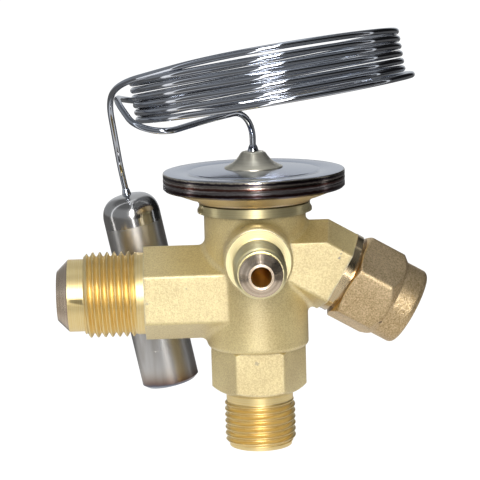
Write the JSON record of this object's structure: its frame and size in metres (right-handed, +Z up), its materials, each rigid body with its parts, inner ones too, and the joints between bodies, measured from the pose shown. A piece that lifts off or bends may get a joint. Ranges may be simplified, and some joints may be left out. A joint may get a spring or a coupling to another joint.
{
  "type": "thermostatic expansion valve",
  "caption": "Angle-type refrigerant expansion valve: forged brass body with flare threads, stainless diaphragm element, coiled capillary tube, sensing bulb and capped superheat spindle.",
  "frame": {"origin": "on the trunk's axis where the inlet thread starts, above its plain nose", "axes": "+Z up the trunk towards the diaphragm element, -X out of the outlet port, -Y out of the equalizer port"},
  "size_m": [0.0825, 0.0658, 0.0935],
  "materials": {
    "forged_brass": "fine sand-blasted forging, machined bright on the threads and seats",
    "stainless_element": "bright pressed stainless sheet, heat-tinted at the weld",
    "weld_stainless": "heat-tinted weld bead",
    "nipple_steel": "satin turned stainless",
    "capillary_stainless": "polished drawn stainless tube",
    "bulb_stainless": "satin drawn stainless",
    "cap_bronze": "coarse blasted bronze-coloured forging",
    "gasket_fibre": "dark sealing ring",
    "packing_ptfe": "white packing",
    "spring_steel": "spring wire",
    "turned_brass": "turned brass",
    "turned_steel": "turned stainless",
    "mesh_stainless": "fine woven mesh"
  },
  "bodies": {
    "valve_housing": {"valve_body": "forged_brass", "element_cover": "stainless_element", "weld_bead": "weld_stainless", "diaphragm": "stainless_element", "element_base": "stainless_element", "element_gasket": "gasket_fibre", "capillary_nipple": "nipple_steel", "capillary_tube": "capillary_stainless", "bulb_shell": "bulb_stainless", "bulb_end_cap": "bulb_stainless", "guide_bush": "turned_brass", "rod_seal": "gasket_fibre", "gland_washer": "turned_brass", "gland_packing": "packing_ptfe", "gland_nut": "turned_brass", "cap_gasket": "packing_ptfe", "orifice_body": "turned_brass", "orifice_seal": "packing_ptfe", "spring_retainer": "turned_brass", "strainer_screen": "mesh_stainless", "strainer_collar": "turned_brass"},
    "valve_stem": {"pressure_pad": "turned_brass", "push_rod": "turned_steel", "valve_cone": "turned_steel", "cone_spring": "spring_steel"},
    "spring_seat": {"spring_seat": "turned_brass", "superheat_spring": "spring_steel"},
    "thrust_pin": {"thrust_pin": "turned_steel"},
    "spindle": {"superheat_spindle": "turned_steel"},
    "seal_cap": {"seal_cap": "cap_bronze"}
  },
  "joints": [
    {"name": "stem_stroke", "type": "slide", "parent": "valve_housing", "child": "valve_stem", "axis": [0, 0, -1], "range_m": [0, 0.0008], "stiffness_N_per_m": 8000, "springref_m": -0.003, "deforming": ["cone_spring"]},
    {"name": "seat_lift", "type": "slide", "parent": "valve_housing", "child": "spring_seat", "axis": [0, 0, 1], "range_m": [-0.002, 0.002], "deforming": ["superheat_spring"]},
    {"name": "pin_advance", "type": "slide", "parent": "valve_housing", "child": "thrust_pin", "axis": [-0.866, 0, 0.5], "range_m": [-0.001, 0.001]},
    {"name": "spindle_turn", "type": "hinge", "parent": "thrust_pin", "child": "spindle", "pos_m": [0.02598, 0, 0.0335], "axis": [-0.866, 0, 0.5], "range_deg": [-720, 720]},
    {"name": "cap_removal", "type": "slide", "parent": "valve_housing", "child": "seal_cap", "axis": [0.866, 0, -0.5], "range_m": [0, 0.016]}
  ],
  "couplings": [
    {"joint": "spindle_turn", "follows": "pin_advance", "rad_per_m": 12566},
    {"joint": "seat_lift", "follows": "pin_advance", "ratio": 2}
  ]
}
